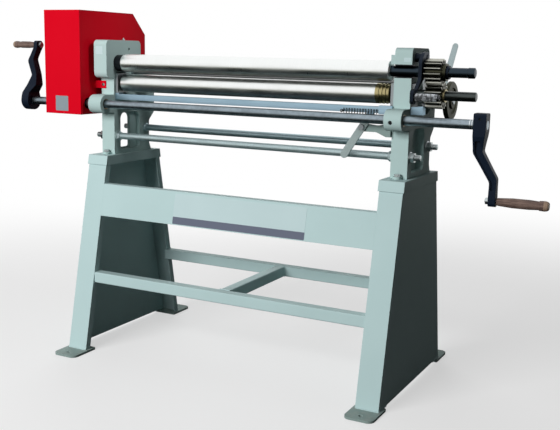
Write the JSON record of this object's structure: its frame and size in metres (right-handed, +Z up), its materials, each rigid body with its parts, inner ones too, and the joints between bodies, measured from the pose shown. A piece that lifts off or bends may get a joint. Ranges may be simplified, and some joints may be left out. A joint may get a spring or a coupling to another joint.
{
  "type": "slip roll machine",
  "caption": "Hand-cranked slip roll on a folded steel stand: geared rolls between side castings, a lifting lower roll, a cam-raised rear roll, a latch and a gear cover.",
  "frame": {"origin": "centre of the four floor bolt holes, on the floor", "axes": "+X along the rolls to the geared end, -Y towards the operator, +Z up"},
  "size_m": [2.07, 0.776, 1.26],
  "materials": {
    "machine_green": "semi-gloss pale grey-green paint on sheet and castings",
    "cover_paint": "gloss red paint on folded sheet",
    "roll_steel": "ground bright steel",
    "bright_bar": "cold drawn bright steel, lightly oiled",
    "machined_steel": "turned and milled steel",
    "gear_steel": "hobbed steel, satin",
    "black_steel": "blackened steel",
    "crank_paint": "dark blue-black paint on cast iron",
    "bearing_bronze": "plain bearing bronze",
    "zinc_fastener": "zinc plated",
    "spring_steel": "oiled spring wire",
    "grip_wood": "turned hardwood, oiled",
    "handle_grey": "knurled steel"
  },
  "bodies": {
    "frame": {"left_pedestal": "machine_green", "right_pedestal": "machine_green", "pedestal_caps": "machine_green", "foot_plates": "machine_green", "front_panel": "machine_green", "front_rail": "machine_green", "rear_rail": "machine_green", "cross_rail": "machine_green", "left_frame": "machine_green", "right_frame": "machine_green", "front_tie_rod": "bright_bar", "rear_tie_rod": "bright_bar", "tie_rod_nuts": "zinc_fastener", "frame_bolts": "zinc_fastener", "drive_shaft_bushes": "bearing_bronze", "top_roll_left_bush": "bearing_bronze", "top_roll_right_liner": "bearing_bronze", "bar_guide_block": "bright_bar", "lever_bracket": "machine_green", "cover_back_plate": "cover_paint", "gear_cover": "cover_paint", "cover_screws": "zinc_fastener", "latch_pivot_pin": "machined_steel", "lever_pivot_bolt": "zinc_fastener", "return_spring": "spring_steel"},
    "drive": {"drive_shaft": "bright_bar", "left_crank": "crank_paint", "right_crank": "crank_paint", "grip_spindles": "machined_steel", "grip_nuts": "zinc_fastener", "drive_pinion": "gear_steel"},
    "right_grip_body": {"right_grip": "grip_wood"},
    "left_grip_body": {"left_grip": "grip_wood"},
    "lower_carriage": {"lower_bearing_blocks": "machined_steel"},
    "lower_roll_body": {"lower_roll": "roll_steel", "lower_drive_gear": "gear_steel", "lower_link_gear": "gear_steel", "lower_gear_ring": "machined_steel"},
    "top_roll_body": {"top_roll": "roll_steel", "top_roll_collar": "black_steel", "top_link_gear": "gear_steel", "top_gear_ring": "machined_steel"},
    "lift_bar_body": {"lift_bar": "bright_bar", "lift_bar_pins": "machined_steel"},
    "lift_lever_body": {"lift_lever": "bright_bar"},
    "rear_carriage": {"rear_bearing_blocks": "machined_steel"},
    "rear_roll_body": {"rear_roll": "roll_steel"},
    "rear_cam_body": {"cam_shaft": "bright_bar", "lift_cams": "machined_steel", "rear_lever": "machined_steel", "rear_index_disc": "machined_steel"},
    "latch_body": {"latch_arm": "machined_steel", "latch_handle": "handle_grey"}
  },
  "joints": [
    {"name": "drive_spin", "type": "hinge", "parent": "frame", "child": "drive", "pos_m": [0, -0.155, 0.9185], "axis": [1, 0, 0], "continuous": true},
    {"name": "right_grip_spin", "type": "hinge", "parent": "drive", "child": "right_grip_body", "pos_m": [0.915, -0.155, 0.6905], "axis": [1, 0, 0], "continuous": true},
    {"name": "left_grip_spin", "type": "hinge", "parent": "drive", "child": "left_grip_body", "pos_m": [-0.887, -0.155, 1.1305], "axis": [1, 0, 0], "continuous": true},
    {"name": "lift_lever_swing", "type": "hinge", "parent": "frame", "child": "lift_lever_body", "pos_m": [0.458, -0.123, 0.88803], "axis": [0, -1, 0], "range_deg": [0, 60]},
    {"name": "lift_bar_slide", "type": "slide", "parent": "frame", "child": "lift_bar_body", "axis": [-1, 0, 0], "range_m": [0, 0.028], "deforming": ["return_spring"]},
    {"name": "lower_lift", "type": "slide", "parent": "frame", "child": "lower_carriage", "axis": [0, 0, 1], "range_m": [0, 0.003]},
    {"name": "lower_roll_spin", "type": "hinge", "parent": "lower_carriage", "child": "lower_roll_body", "pos_m": [0, -0.064, 0.99673], "axis": [1, 0, 0], "continuous": true},
    {"name": "top_roll_spin", "type": "hinge", "parent": "frame", "child": "top_roll_body", "pos_m": [0, -0.08, 1.07], "axis": [1, 0, 0], "continuous": true},
    {"name": "rear_lever_swing", "type": "hinge", "parent": "frame", "child": "rear_cam_body", "pos_m": [0, 0.0592, 0.9754], "axis": [1, 0, 0], "range_deg": [0, 70]},
    {"name": "rear_lift", "type": "slide", "parent": "frame", "child": "rear_carriage", "axis": [0, -0.4226, 0.9063], "range_m": [0, 0.01606]},
    {"name": "rear_roll_spin", "type": "hinge", "parent": "rear_carriage", "child": "rear_roll_body", "pos_m": [0, 0.0388, 1.01915], "axis": [1, 0, 0], "continuous": true},
    {"name": "latch_swing", "type": "hinge", "parent": "frame", "child": "latch_body", "pos_m": [0.641, -0.072, 1.114], "axis": [-1, 0, 0], "range_deg": [0, 70]}
  ],
  "couplings": [
    {"joint": "lower_roll_spin", "follows": "drive_spin", "ratio": -0.33333},
    {"joint": "top_roll_spin", "follows": "drive_spin", "ratio": 0.33333},
    {"joint": "lift_lever_swing", "follows": "lift_bar_slide", "rad_per_m": 37.4},
    {"joint": "lower_lift", "follows": "lift_bar_slide", "ratio": 0.10714},
    {"joint": "rear_lift", "follows": "rear_lever_swing", "m_per_rad": 0.013145}
  ]
}
